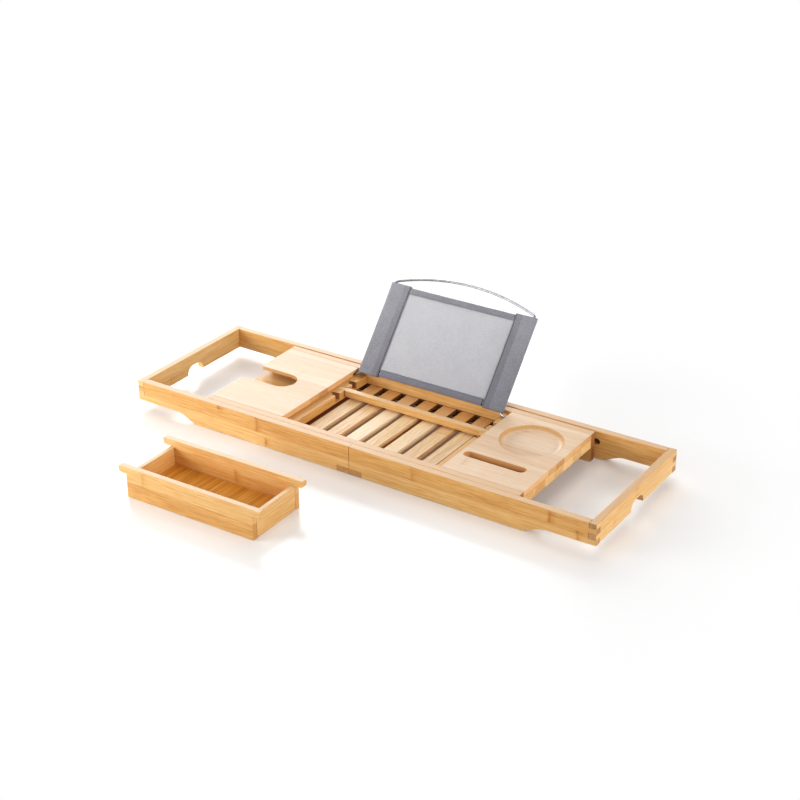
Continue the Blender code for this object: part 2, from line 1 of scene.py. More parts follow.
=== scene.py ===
"""Looks for a bamboo bath caddy with a cloth book rest and a small tray.

Metres, +Z up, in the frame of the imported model: X runs along the caddy and its front is at -Y. The
packed wooden pieces keep their shapes and get their finishes here. The book rest's wire and cloth
are modelled here, in the plane of the rest: X across it, Y along it from its pivot and Z out of its
front.
"""

import json
import logging
from dataclasses import dataclass, field, replace
from enum import Enum
from math import ceil, copysign, cos, dist, exp, pi, radians, sin, sqrt, tan
from typing import Callable, Sequence

import bmesh
import bpy
import numpy as np
from mathutils import Matrix, Vector, noise


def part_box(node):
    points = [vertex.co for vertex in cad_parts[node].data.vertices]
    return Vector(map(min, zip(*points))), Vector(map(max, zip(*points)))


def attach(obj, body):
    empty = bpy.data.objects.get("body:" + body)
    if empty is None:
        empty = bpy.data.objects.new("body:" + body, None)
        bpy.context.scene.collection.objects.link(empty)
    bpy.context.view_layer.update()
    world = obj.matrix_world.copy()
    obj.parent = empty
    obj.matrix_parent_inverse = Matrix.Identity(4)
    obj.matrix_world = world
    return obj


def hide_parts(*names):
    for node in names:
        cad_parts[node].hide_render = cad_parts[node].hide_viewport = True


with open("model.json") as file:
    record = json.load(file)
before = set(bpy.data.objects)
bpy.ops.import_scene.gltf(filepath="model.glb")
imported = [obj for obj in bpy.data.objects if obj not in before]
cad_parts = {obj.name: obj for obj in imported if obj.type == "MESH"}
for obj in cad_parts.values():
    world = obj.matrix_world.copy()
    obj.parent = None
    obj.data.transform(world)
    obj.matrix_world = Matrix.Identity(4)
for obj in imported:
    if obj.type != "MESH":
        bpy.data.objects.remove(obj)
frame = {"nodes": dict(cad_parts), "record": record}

LOG = logging.getLogger("bath_caddy")
MM = 0.001
Colour = tuple[float, float, float]


def srgb(code: str) -> Colour:
    """The linear colour of a six-digit hex code.

    Args:
        code: two hex digits each of red, green and blue.

    Returns:
        Linear red, green and blue.
    """
    shares = [int(code[i:i + 2], 16) / 255 for i in (0, 2, 4)]
    return tuple(s / 12.92 if s <= 0.04045 else ((s + 0.055) / 1.055) ** 2.4 for s in shares)


class Signal:
    """An output socket of a node tree. Arithmetic on it adds Math nodes."""

    def __init__(self, graph: "Graph", socket: bpy.types.NodeSocket) -> None:
        """Keep the socket and the graph that it is part of."""
        self.graph = graph
        self.socket = socket

    def sibling(self, name: str) -> "Signal":
        """Another output of the same node."""
        return Signal(self.graph, self.socket.node.outputs[name])

    def __add__(self, other: "Signal | float") -> "Signal":
        """Self plus other."""
        return self.graph.math("ADD", self, other)

    __radd__ = __add__

    def __sub__(self, other: "Signal | float") -> "Signal":
        """Self minus other."""
        return self.graph.math("SUBTRACT", self, other)

    def __rsub__(self, other: float) -> "Signal":
        """Other minus self."""
        return self.graph.math("SUBTRACT", other, self)

    def __mul__(self, other: "Signal | float") -> "Signal":
        """Self times other."""
        return self.graph.math("MULTIPLY", self, other)

    __rmul__ = __mul__

    def __truediv__(self, other: "Signal | float") -> "Signal":
        """Self over other."""
        return self.graph.math("DIVIDE", self, other)

    def __pow__(self, other: float) -> "Signal":
        """Self to a power."""
        return self.graph.math("POWER", self, other)

    def __abs__(self) -> "Signal":
        """Self without its sign."""
        return self.graph.math("ABSOLUTE", self)

    def floor(self) -> "Signal":
        """The whole number below."""
        return self.graph.math("FLOOR", self)

    def fraction(self) -> "Signal":
        """What is left above the whole number below."""
        return self.graph.math("FRACT", self)

    def sine(self) -> "Signal":
        """The sine of self, in radians."""
        return self.graph.math("SINE", self)

    def most(self, other: "Signal | float") -> "Signal":
        """The larger of the two."""
        return self.graph.math("MAXIMUM", self, other)

    def smooth(self, low: float, high: float) -> "Signal":
        """0 up to low, 1 from high, and a smooth step between them. Low may be the larger.

        Args:
            low: where the step starts from 0.
            high: where it reaches 1.

        Returns:
            The share between 0 and 1.
        """
        sockets = {"Value": self, "From Min": low, "From Max": high}
        settings = {"interpolation_type": "SMOOTHSTEP"}
        return self.graph.add("ShaderNodeMapRange", settings, sockets, "Result")

    def near(self, middle: "Signal | float", reach: float, blur: float) -> "Signal":
        """1 within reach of the middle, falling to 0 over the blur beyond it."""
        return abs(self - middle).smooth(reach + blur, reach)


class Graph:
    """The node tree of a material, or of the world."""

    def __init__(self, owner: bpy.types.Material | bpy.types.World) -> None:
        """Empty the owner's node tree.

        Args:
            owner: the material or world.
        """
        owner.use_nodes = True
        self.owner = owner
        self.tree = owner.node_tree
        self.tree.nodes.clear()

    @classmethod
    def named(cls, name: str) -> "Graph":
        """The graph of a new material."""
        return cls(bpy.data.materials.new(name))

    def add(self, kind: str, settings: dict | None = None, sockets: dict | None = None,
            out: int | str = 0) -> Signal:
        """Add a node.

        Args:
            kind: the node's type.
            settings: its properties, set first; "stops" are a colour ramp's (place, colour) pairs.
            sockets: values or signals for its inputs, by name or number.
            out: the output that is handed on.

        Returns:
            That output.
        """
        node = self.tree.nodes.new(kind)
        for key, value in (settings or {}).items():
            if key == "stops":
                self.set_stops(node.color_ramp, value)
            else:
                setattr(node, key, value)
        for key, value in (sockets or {}).items():
            if isinstance(value, Signal):
                self.tree.links.new(value.socket, node.inputs[key])
            else:
                node.inputs[key].default_value = value
        return Signal(self, node.outputs[out] if node.outputs else None)

    @staticmethod
    def set_stops(ramp: bpy.types.ColorRamp, stops: list[tuple[float, Colour]]) -> None:
        """Give a colour ramp its stops.

        Args:
            ramp: the ramp.
            stops: the place and the colour of each.
        """
        while len(ramp.elements) < len(stops):
            ramp.elements.new(1)
        for element, (place, colour) in zip(ramp.elements, stops):
            element.position = place
            element.color = (*colour, 1)

    def math(self, operation: str, *values: Signal | float) -> Signal:
        """A Math node on one or two values."""
        return self.add("ShaderNodeMath", {"operation": operation}, dict(enumerate(values)))

    def vector(self, x: Signal | float, y: Signal | float, z: Signal | float) -> Signal:
        """A vector of three values."""
        return self.add("ShaderNodeCombineXYZ", None, {"X": x, "Y": y, "Z": z})

    def mix(self, share: Signal | float, start: Signal | Colour,
            end: Signal | Colour) -> Signal:
        """Mix two colours.

        Args:
            share: how much of the end.
            start: the colour at 0.
            end: the colour at 1.

        Returns:
            The mixed colour.
        """
        first, last = (value if isinstance(value, Signal) else (*value, 1)
                       for value in (start, end))
        return self.add("ShaderNodeMix", {"data_type": "RGBA"}, {0: share, 6: first, 7: last}, 2)

    def place(self, output: str = "Object") -> list[Signal]:
        """Split an output of the Texture Coordinate node.

        Args:
            output: the place in the object's own metres, or "Normal".

        Returns:
            Its X, Y and Z.
        """
        point = self.add("ShaderNodeTexCoord", None, None, output)
        first = self.add("ShaderNodeSeparateXYZ", None, {0: point})
        return [first, first.sibling("Y"), first.sibling("Z")]

    def noise(self, point: Signal, detail: float = 1, rough: float = 0.5) -> Signal:
        """Soft noise around 0, from about -0.5 to 0.5, with lumps about one unit wide."""
        sockets = {"Vector": point, "Scale": 1, "Detail": detail, "Roughness": rough}
        return self.add("ShaderNodeTexNoise", None, sockets) - 0.5

    def lumps(self, place: Sequence[Signal | float], counts: Sequence[float], detail: float,
              rough: float = 0.5) -> Signal:
        """Soft noise with so many lumps per metre along each axis."""
        point = self.vector(*(value * count for value, count in zip(place, counts)))
        return self.noise(point, detail, rough)

    def random(self, point: Signal) -> Signal:
        """An even random share for each point."""
        return self.add("ShaderNodeTexWhiteNoise", None, {"Vector": point}, "Value")

    def bump(self, height: Signal, strength: float, depth: float) -> Signal:
        """A normal tilted by a height."""
        sockets = {"Strength": strength, "Distance": depth, "Height": height}
        return self.add("ShaderNodeBump", None, sockets)

    def finish(self, **sockets: Signal | float | tuple) -> bpy.types.Material:
        """Close the tree with a Principled shader.

        Args:
            sockets: its inputs, with an underscore for each blank of their names.

        Returns:
            The material.
        """
        named = {name.replace("_", " "): value for name, value in sockets.items()}
        shader = self.add("ShaderNodeBsdfPrincipled", None, named)
        self.add("ShaderNodeOutputMaterial", None, {"Surface": shader})
        return self.owner


def even_shading(mesh: bpy.types.Mesh, widest: float = radians(50)) -> None:
    """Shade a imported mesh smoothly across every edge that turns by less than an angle.

    Args:
        mesh: the mesh, in which every triangle has points of its own.
        widest: the angle.
    """
    points = np.empty(len(mesh.vertices) * 3, np.float32)
    mesh.vertices.foreach_get("co", points)
    owners: dict[tuple, list[int]] = {}
    sums = np.array([face.normal * face.area for face in mesh.polygons])
    facing = np.array([face.normal for face in mesh.polygons])
    keys = [tuple(point) for point in np.round(points.reshape(-1, 3), 6)]
    for face in mesh.polygons:
        for i in face.vertices:
            owners.setdefault(keys[i], []).append(face.index)
    limit = cos(widest)
    normals = [None] * len(mesh.loops)
    for face in mesh.polygons:
        for corner in face.loop_indices:
            around = owners[keys[mesh.loops[corner].vertex_index]]
            alike = [i for i in around if facing[i] @ facing[face.index] > limit]
            normals[corner] = tuple(sums[alike].sum(0)) if alike else tuple(face.normal)
    mesh.shade_smooth()
    mesh.normals_split_custom_set([Vector(normal).normalized() for normal in normals])


class Grain(Enum):
    """The axis that fibres run along, the one that strips are glued across, and the third."""

    LONG_UPRIGHT = (0, 2, 1)
    LONG_FLAT = (0, 1, 2)
    DEEP_UPRIGHT = (1, 2, 0)
    DEEP_FLAT = (1, 0, 2)


@dataclass(frozen=True)
class Knot:
    """A ring of the culm: a dark line that crosses one strip."""

    along: float  # place along the fibres
    across: float  # middle of the part that it crosses
    reach: float  # half of that part's width
    layer: float  # place on the third axis
    strength: float = 1


@dataclass(frozen=True)
class Hollows:
    """The middles of two boards, one on each side, where hollows have darker walls: cut fibres, with
    painted shade.
    """

    middle: float  # between the two boards
    aside: float  # from there to the middle of either
    reach: float  # half length of the part
    across: float  # its middle across the boards
    half: float  # half of its width

    def mask(self, along: Signal, across: Signal) -> Signal:
        """Where the hollows may be.

        Args:
            along: place along the boards.
            across: place across them.

        Returns:
            1 inside the two parts.
        """
        inside = abs(along - self.middle).near(self.aside, self.reach, 0.0003)
        return inside * across.near(self.across, self.half, 0.0003)


@dataclass(frozen=True)
class Dim:
    """Two bands that face each other and that light hardly reaches, painted with shade."""

    height: float  # their middle
    half: float  # half of their height
    between: float  # the middle between them
    out: float  # from there to either
    along: float  # their middle along the pieces
    reach: float  # half of their length

    def mask(self, along: Signal, across: Signal, through: Signal) -> Signal:
        """Where the two bands are.

        Args:
            along: place along the pieces.
            across: height.
            through: place from piece to piece.

        Returns:
            1 on the bands.
        """
        inside = across.near(self.height, self.half, 0.0002)
        inside = inside * abs(through - self.between).near(self.out, 0.0025, 0.0001)
        return inside * along.near(self.along, self.reach, 0.0002)


@dataclass(frozen=True)
class Palette:
    """A wood's colours, from its dark streaks to its light ones, and those of its end grain."""

    dark: Colour
    middle: Colour
    light: Colour
    end_dark: Colour
    end_light: Colour

    @classmethod
    def of(cls, *codes: str) -> "Palette":
        """A palette from hex codes."""
        return cls(*map(srgb, codes))

    def ends(self, dark: str, light: str) -> "Palette":
        """The same wood with other end grain."""
        return replace(self, end_dark=srgb(dark), end_light=srgb(light))


GOLDEN = Palette.of("BE782E", "E0A95E", "F3CC8E", "8C6234", "C4925A")
PALE = Palette.of("CC9E74", "E5C19B", "F0DBC2", "C68C50", "F2C084")
SLAT = Palette.of("CE965A", "F4D09C", "FEEACA", "A8703A", "D6A86C")
# the battens' wood painted dark, as painted shade
SHADOWED_WOOD = Palette.of("4A2A12", "6E431F", "8A5C30", "4A2A12", "6E431F")
AMBER = Palette.of("A8600F", "DA8F26", "F0B658", "6E3A08", "A3611C")
# LIT_ENDS, MILD_ENDS, BROWN_ENDS and SHADED_ENDS: lit and shaded copies of GOLDEN's end grain, as
# painted light and shade
LIT_ENDS = GOLDEN.ends("C49452", "E8BF82")
MILD_ENDS = GOLDEN.ends("A8743A", "D8A260")
TRAY_ENDS = GOLDEN.ends("C48644", "E8B06C")
UNDER_ENDS = GOLDEN.ends("D8A25E", "FCD494")
BROWN_ENDS = GOLDEN.ends("80592C", "C0935E")
SHADED_ENDS = GOLDEN.ends("6E4420", "A8713C")


@dataclass(frozen=True)
class Bamboo:
    """Bamboo in glued strips, with fibres, the rings of the culm and end grain."""

    name: str
    grain: Grain
    palette: Palette
    strip: float  # width of a strip
    strip_start: float = 0.0  # an edge between two strips
    layer: float = 0.4  # thickness of a layer
    layer_start: float = -0.2
    seed: float = 0.0
    contrast: float = 1.0  # of the streaks
    strip_contrast: float = 0.34
    ring_pitch: float = 0.0  # between the rings of one strip, where no knots are given
    ring_strength: float = 0.5
    seam_share: float = 0.3  # darkness of the glue lines
    hollows: Hollows | None = None
    painted_shade: tuple[float, float] | None = None  # where along the piece a painted shadow begins and ends to darken it
    dim: Dim | None = None
    top_light_share: float = 0.0  # how far upward faces are painted paler, as painted top light and sheen
    knots: tuple[Knot, ...] = ()

    # painted top light and sheen, mixed into upward faces
    TOP_LIGHT = srgb("E8CAA6")
    # painted shade, on the bands of a Dim
    SHADE = srgb("3A1E0C")
    SHADE_SHARE = 0.85
    # painted shadow, as behind the book stop bar
    SHADOW_TINT = srgb("D88816")
    SHADOW_TINT_SHARE = 0.6
    DEEP_SHADOW_TINT = srgb("5C2A10")  # painted shadow, on upright faces
    DEEP_SHADOW_TINT_SHARE = 0.85
    # walls of hollows: the tone of cut fibres, with painted shade
    HOLLOW = srgb("CC954E")
    HOLLOW_LIGHT = srgb("E2B474")
    HOLLOW_SHARE = 0.8
    WAVER = 0.006  # how far the fibres sway
    SWAY = (7, 20)  # how many times per metre along and across
    BROAD = (3, 60, 1)  # streaks: how many per metre along and across, and their detail
    MIDDLE = (13, 520, 2)
    FINE = (42, 1300, 2)
    DASHES = (64, 1700, 0)
    BASE_TONE = 0.53
    BROAD_TONE, MIDDLE_TONE, FINE_TONE, DASH_TONE = 0.30, 0.96, 0.80, 0.18
    HALO_TONE, LINE_TONE = 0.17, 0.26
    RING_LINE = 0.0003
    RING_BLUR = 0.003
    RING_BOW = 14.0  # curve of a ring across its strip
    RING_HALO = 0.009
    HALO_SHIFT = 0.003  # of a halo, along from its line
    RING_PATCHES = (110, 190, 190)  # per metre along, across and through
    END_PATCHES = (90, 160, 20)  # per metre across, through and along
    SEAM = 0.00025
    DOTS = 900.0  # bundles of fibres per metre, on end grain

    def material(self) -> bpy.types.Material:
        """Build the material.

        Returns:
            The material.
        """
        graph = Graph.named(self.name)
        place = graph.place()
        along, across, through = (place[axis] for axis in self.grain.value)
        strips = (across - self.strip_start) / self.strip
        layers = (through - self.layer_start) / self.layer
        cell = graph.vector(strips.floor(), layers.floor(), self.seed)
        strip_tone = graph.random(cell)
        start = strip_tone * 53
        long, wide = self.SWAY
        sway = graph.vector(along * long + start, across * wide, through * wide)
        waver = graph.noise(sway) * self.WAVER

        def fibres(run: float, width: float, detail: float) -> Signal:
            """Streaks about as long and wide as one over run and one over width."""
            point = graph.vector(along * run + start, (across + waver) * width, through * width)
            return graph.noise(point, detail, 0.6)

        broad, middle, fine = (fibres(*kind) for kind in (self.BROAD, self.MIDDLE, self.FINE))
        dashes = fibres(*self.DASHES).smooth(0.10, 0.28)
        seam = abs(strips.fraction() - 0.5).smooth(0.5 - 2 * self.SEAM / self.strip, 0.5)
        line, halo = self.rings(graph, along, across, through, strip_tone, waver)
        streaks = middle * self.MIDDLE_TONE + fine * self.FINE_TONE - dashes * self.DASH_TONE
        tone = self.BASE_TONE + (strip_tone - 0.5) * self.strip_contrast + broad * self.BROAD_TONE
        tone = tone + streaks * self.contrast - halo * self.HALO_TONE - line * self.LINE_TONE
        wood = graph.add("ShaderNodeValToRGB", {"stops": [
            (0.0, self.palette.dark), (0.5, self.palette.middle), (1.0, self.palette.light),
        ]}, {0: tone})
        wood = graph.mix(seam * self.seam_share, wood, self.palette.dark)
        up = graph.place("Normal")[2]
        # painted top light: upward faces paler
        if self.top_light_share:
            wood = graph.mix(up.smooth(0.25, 0.9) * self.top_light_share, wood, self.TOP_LIGHT)
        # painted shadow along the piece, darkest on upright faces
        if self.painted_shade:
            late = along.smooth(*self.painted_shade)
            upright = abs(up).smooth(0.7, 0.3)
            wood = graph.mix(late * self.SHADOW_TINT_SHARE, wood, self.SHADOW_TINT)
            wood = graph.mix(late * upright * self.DEEP_SHADOW_TINT_SHARE, wood, self.DEEP_SHADOW_TINT)
        if self.dim:
            share = self.dim.mask(along, across, through) * self.SHADE_SHARE
            wood = graph.mix(share, wood, self.SHADE)
        end, end_wood = self.end_grain(graph, along, across, through, strip_tone)
        wood = graph.mix(end, wood, end_wood)
        if self.hollows:
            wall = up.smooth(0.985, 0.75) * self.hollows.mask(along, across)
            walls = graph.mix(middle, self.HOLLOW, self.HOLLOW_LIGHT)
            wood = graph.mix(wall * self.HOLLOW_SHARE, wood, walls)
        height = (middle + fine) * (1 - end) - dashes * 0.3 - line - seam
        return graph.finish(
            Base_Color=wood,
            Roughness=0.40 + fine * 0.16 + middle * 0.10 + end * 0.18,
            Normal=graph.bump(height, 0.16, 0.0004),
            Specular_IOR_Level=0.34,
            Coat_Weight=0.08,
            Coat_Roughness=0.30,
        )

    def dress(self, *nodes: str) -> None:
        """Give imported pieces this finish.

        Args:
            nodes: the pieces' names.
        """
        material = self.material()
        for name in nodes:
            piece = frame["nodes"][name]
            for slot in piece.material_slots:
                slot.material = material
            even_shading(piece.data)
        LOG.info("%s on %s", self.name, ", ".join(nodes))

    def rings(self, graph: Graph, along: Signal, across: Signal, through: Signal,
              strip_tone: Signal, waver: Signal) -> tuple[Signal, Signal]:
        """The lines and halos of the culm's rings.

        Args:
            graph: the material's graph.
            along: place along the fibres.
            across: place across the strips.
            through: place on the third axis.
            strip_tone: a random share for each strip.
            waver: a small wavering length.

        Returns:
            The line's mask and the halo's.
        """
        place = along + waver * 0.6
        line = halo = place * 0
        for knot in self.knots:
            side = across - knot.across
            here = side.near(0, knot.reach, 0.002)
            here = here * through.near(knot.layer, 0.008, 0.002) * knot.strength
            bowed = place + side * side * self.RING_BOW
            line = here * bowed.near(knot.along, self.RING_LINE, self.RING_BLUR) + line
            halo = here * bowed.near(knot.along + self.HALO_SHIFT, 0, self.RING_HALO) + halo
        if self.ring_pitch:
            turn = (place / self.ring_pitch + strip_tone * 7).fraction() * self.ring_pitch
            middle = self.ring_pitch / 2
            line = turn.near(middle, self.RING_LINE, self.RING_BLUR) * self.ring_strength + line
            glow = turn.near(middle + self.HALO_SHIFT, 0, self.RING_HALO)
            halo = glow * self.ring_strength + halo
        patchy = graph.lumps((along, across, through), self.RING_PATCHES, 2) * 1.6 + 0.8
        return line * patchy, halo * patchy

    def end_grain(self, graph: Graph, along: Signal, across: Signal, through: Signal,
                  strip_tone: Signal) -> tuple[Signal, Signal]:
        """End grain: dark bundles of fibres on a paler ground, where a face looks along the fibres.

        Args:
            graph: the material's graph.
            along: place along the fibres.
            across: place across the strips.
            through: place on the third axis.
            strip_tone: a random share for each strip.

        Returns:
            The mask of such faces, and their colour.
        """
        facing = abs(graph.place("Normal")[self.grain.value[0]]).smooth(0.6, 0.85)
        point = graph.vector(across * self.DOTS, through * self.DOTS, along * 60)
        dots = graph.add("ShaderNodeTexVoronoi", None, {"Vector": point, "Scale": 1}, "Distance")
        patches = graph.lumps((across, through, along), self.END_PATCHES, 2)
        share = (dots * 0.6 + patches * 0.6 + strip_tone * 0.7 - 0.1).smooth(0, 1)
        return facing, graph.mix(share, self.palette.end_dark, self.palette.end_light)


@dataclass(frozen=True)
class Steel:
    """Bright drawn wire."""

    name: str = "steel_wire"
    colour: Colour = (0.19, 0.195, 0.205)
    worn: Colour = (0.34, 0.35, 0.37)

    WEAR = (400, 400, 400)  # patches of wear, per metre along x, y and z
    LINES = (60, 900, 3000)  # lines left by drawing

    def material(self) -> bpy.types.Material:
        """Build the material.

        Returns:
            The material.
        """
        graph = Graph.named(self.name)
        place = graph.place()
        wear = graph.lumps(place, self.WEAR, 3)
        lines = graph.lumps(place, self.LINES, 2)
        colour = graph.mix((0.5 + wear).smooth(0.2, 0.8), self.colour, self.worn)
        return graph.finish(
            Base_Color=colour,
            Metallic=1.0,
            Roughness=0.20 + wear * 0.14 + lines * 0.06,
            Normal=graph.bump(wear + lines, 0.05, 0.0002),
        )


@dataclass(frozen=True)
class Cloth:
    """Plain woven cloth, with threads of uneven colour."""

    name: str
    dark: Colour
    light: Colour
    thread: float = 0.0007  # between threads
    fold: float = 0.0  # distance from the middle within which the cloth is darker
    fold_share: float = 0.0
    seam: float = 0.0845  # distance from the middle of the darker line beside a sleeve
    even: float = 0.07  # height up the rest at which the painted light neither pales nor darkens it
    fade: float = 3.6  # how fast it pales above, and darkens below, per metre, as painted light and shade
    shade: float = -1.2  # how fast it pales towards the rest's right side, per metre, as painted light

    SEAM = srgb("3E3F48")
    SEAM_SHARE = 0.7
    FOLD_BLUR = 0.0008
    SLUB = (90, 1400)  # uneven threads: how many per metre along them and across
    FLECKS = (520, 520, 520)  # of mixed fibres, per metre along x, y and z
    CLOUDS = (35, 35, 35)  # of uneven dye
    SLUB_TONE, FLECK_TONE, CLOUD_TONE, WEAVE_TONE = 0.55, 0.9, 0.35, 0.30

    def material(self) -> bpy.types.Material:
        """Build the material.

        Returns:
            The material.
        """
        graph = Graph.named(self.name)
        x, y, z = graph.place()
        warp = x * (2 * pi / self.thread)
        weft = y * (2 * pi / self.thread)
        over = (warp * 0.5).sine() * (weft * 0.5).sine()
        weave = abs(warp.sine()) * over.smooth(-0.2, 0.2)
        weave = weave + abs(weft.sine()) * over.smooth(0.2, -0.2)
        run, width = self.SLUB
        slub = graph.lumps((x, y, 0), (run, width, 1), 2)
        slub = slub + graph.lumps((x, y, 7), (width, run, 1), 2)
        flecks = graph.lumps((x, y, z), self.FLECKS, 3, 0.7)
        clouds = graph.lumps((x, y, z), self.CLOUDS, 2)
        tone = 0.5 + slub * self.SLUB_TONE + flecks * self.FLECK_TONE + clouds * self.CLOUD_TONE
        tone = tone + (weave - 0.5) * self.WEAVE_TONE
        # painted light and shade: paler above, darker below, and changing across the rest
        tone = tone + (y - self.even) * self.fade + x * self.shade
        seam = abs(x).near(self.seam, 0.0003, 0.0006) * self.SEAM_SHARE
        if self.fold:
            inner = abs(x).smooth(self.fold + self.FOLD_BLUR, self.fold - self.FOLD_BLUR)
            tone = tone - inner * self.fold_share
        threads = graph.mix(tone.smooth(-0.15, 1.15), self.dark, self.light)
        return graph.finish(
            Base_Color=graph.mix(seam, threads, self.SEAM),
            Roughness=0.92 - flecks * 0.2,
            Normal=graph.bump(weave + slub + flecks, 0.5, 0.00025),
            Sheen_Weight=0.25,
            Sheen_Roughness=0.5,
        )


GREY_CLOTH = Cloth("grey_cloth", srgb("74757F"), srgb("A8A9B1"), fold=0.0938, fold_share=0.28)
PANEL_CLOTH = Cloth("panel_cloth", srgb("B4B6BD"), srgb("D8D9DE"), thread=0.0006)
THREAD = Cloth("sewing_thread", srgb("50515C"), srgb("7C7D88"), thread=0.0004)


@dataclass
class Arms:
    """The two sliding arms: side rails of two strips, end rails and cross bars."""

    sides: tuple[str, str] = ("left", "right")
    seam_height: float = 0.020  # between the two strips of a side rail
    knot_reach: float = 0.009
    groove_height: float = 0.0248
    groove_half: float = 0.0039
    groove_cover: float = 0.0074  # from the rail's outer face to the middle of the groove's depth
    groove_reach: float = 1.0  # beyond both arms' ends

    def knots(self) -> tuple[Knot, ...]:
        """The rings that show on the side rails.

        Returns:
            One knot each, three of them on the back rails.
        """
        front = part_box("left_arm_front_rail")[0].y
        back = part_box("left_arm_back_rail")[1].y
        low, high = self.seam_height - self.knot_reach, self.seam_height + self.knot_reach
        return (
            Knot(-0.146, high, self.knot_reach, front),
            Knot(-0.132, low - 0.004, 0.006, front, 1.3),
            Knot(-0.210, 0.0375, 0.002, front, 1.5),
            Knot(0.0954, high, self.knot_reach, front, 0.6),
            Knot(0.2885, high + 0.002, 0.007, front, 1.2),
            Knot(0.3265, low + 0.004, 0.008, front, 1.2),
            Knot(0.284, 0.037, 0.004, back, 0.9),
            Knot(0.325, high, self.knot_reach, back, 0.6),
            Knot(-0.262, low, self.knot_reach, back, 0.7),
        )

    def finish(self) -> None:
        """Dress the arms' pieces."""
        low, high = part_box("left_arm_end_rail")
        middle, out = (low.y + high.y) / 2, (high.y - low.y) / 2 - self.groove_cover
        # painted shade inside the grooves
        grooves = Dim(self.groove_height, self.groove_half, middle, out, 0.0, self.groove_reach)
        side = Bamboo("side_rail_bamboo", Grain.LONG_UPRIGHT, GOLDEN, 0.020, layer=0.05,
                      layer_start=-0.001, seed=3.0, knots=self.knots(), top_light_share=0.6,
                      dim=grooves)
        # the left end rail gets lit end grain and the right one shaded end grain: painted light and
        # shade
        for name, palette in zip(self.sides, (LIT_ENDS, BROWN_ENDS)):
            end = Bamboo(f"{name}_end_rail_bamboo", Grain.DEEP_UPRIGHT, palette, 0.0145,
                         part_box("left_arm_end_rail")[0].z, seed=11.0, ring_pitch=0.31,
                         top_light_share=0.45)
            end.dress(f"{name}_arm_end_rail")
        # the left cross bar's end grain is painted lighter, as painted light
        for name, palette in (("left", MILD_ENDS), ("right", GOLDEN)):
            bar = Bamboo(f"{name}_cross_bar_bamboo", Grain.DEEP_FLAT, palette, 0.0186, seed=5.0)
            bar.dress(f"{name}_arm_cross_bar")
        rails = [f"{name}_arm_{way}_rail" for name in self.sides for way in ("front", "back")]
        side.dress(*rails)


@dataclass
class Core:
    """The fixed middle: rails, boards, shelf, notched rails, slats and the book stop."""

    slats: int = 7
    pins: int = 8
    board_strip: float = 0.0205
    border: float = 0.003  # of a board, round the part that has hollows
    shadow_reach: float = 0.012  # behind the bar, to where the painted shadow on the slats is darkest

    def finish(self) -> None:
        """Dress the core's pieces."""
        low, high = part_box("right_top_board")
        middle, half = (low + high) / 2, (high - low) / 2
        core_x = (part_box("left_top_board")[0].x + high.x) / 2
        hollows = Hollows(core_x, middle.x - core_x, half.x - self.border,
                          middle.y, half.y - self.border)
        board = Bamboo("board_bamboo", Grain.LONG_FLAT, PALE, self.board_strip, low.y, 0.008,
                       low.z - 0.0001, seed=2.0, contrast=0.8, hollows=hollows,
                       knots=(Knot(low.x + 0.018, low.y + 0.026, 0.009, high.z, 0.8),
                              Knot(low.x - 0.302, low.y + 0.118, 0.009, high.z, 0.5)))
        board.dress("left_top_board", "right_top_board")
        under = Bamboo("layer_bamboo", Grain.LONG_FLAT, UNDER_ENDS, 0.024, low.y + 0.006, seed=8.0)
        under.dress("left_glass_shelf", "left_front_spacer", "left_back_spacer",
                    "right_lower_board")
        # the battens are painted dark as shade below the slats
        shaded = Bamboo("batten_bamboo", Grain.LONG_FLAT, SHADOWED_WOOD, 0.024, low.y, seed=9.0)
        shaded.dress("front_slat_batten", "back_slat_batten")
        start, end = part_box("front_slat_batten")[0].x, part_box("back_slat_batten")[1].x
        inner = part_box("core_back_rail")[0].y - middle.y
        # painted shade on the rails' inner faces below the slats
        below = Dim(0.0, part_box("slat_1")[1].z, middle.y, inner, (start + end) / 2,
                    (end - start) / 2)
        rail = Bamboo("core_rail_bamboo", Grain.LONG_UPRIGHT, SHADED_ENDS, 0.020, seed=14.0,
                      top_light_share=0.6, dim=below)
        rail.dress("core_front_rail", "core_back_rail")
        notched = Bamboo("notched_rail_bamboo", Grain.DEEP_FLAT, GOLDEN, 0.03, seed=21.0)
        notched.dress("left_notched_rail", "right_notched_rail",
                      *(f"guide_pin_{i + 1}" for i in range(self.pins)))
        self.finish_slats()
        bar_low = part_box("book_stop_bar")[0]
        stop = Bamboo("book_stop_bamboo", Grain.LONG_FLAT, GOLDEN, 0.02, bar_low.y - 0.002,
                      seed=30.0, top_light_share=0.35)
        stop.dress("book_stop_bar")

    def finish_slats(self) -> None:
        """Dress the slats, each of which is one strip with a tone of its own."""
        low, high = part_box("slat_1")
        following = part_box("slat_2")[0]
        bar_low, bar_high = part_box("book_stop_bar")
        gap = following.x - high.x
        slat = Bamboo("slat_bamboo", Grain.DEEP_FLAT, SLAT, following.x - low.x, low.x - gap / 2,
                      seed=17.0, contrast=1.1, strip_contrast=0.75, ring_pitch=0.83,
                      painted_shade=(bar_low.y, bar_high.y + self.shadow_reach))
        slat.dress(*(f"slat_{i + 1}" for i in range(self.slats)))


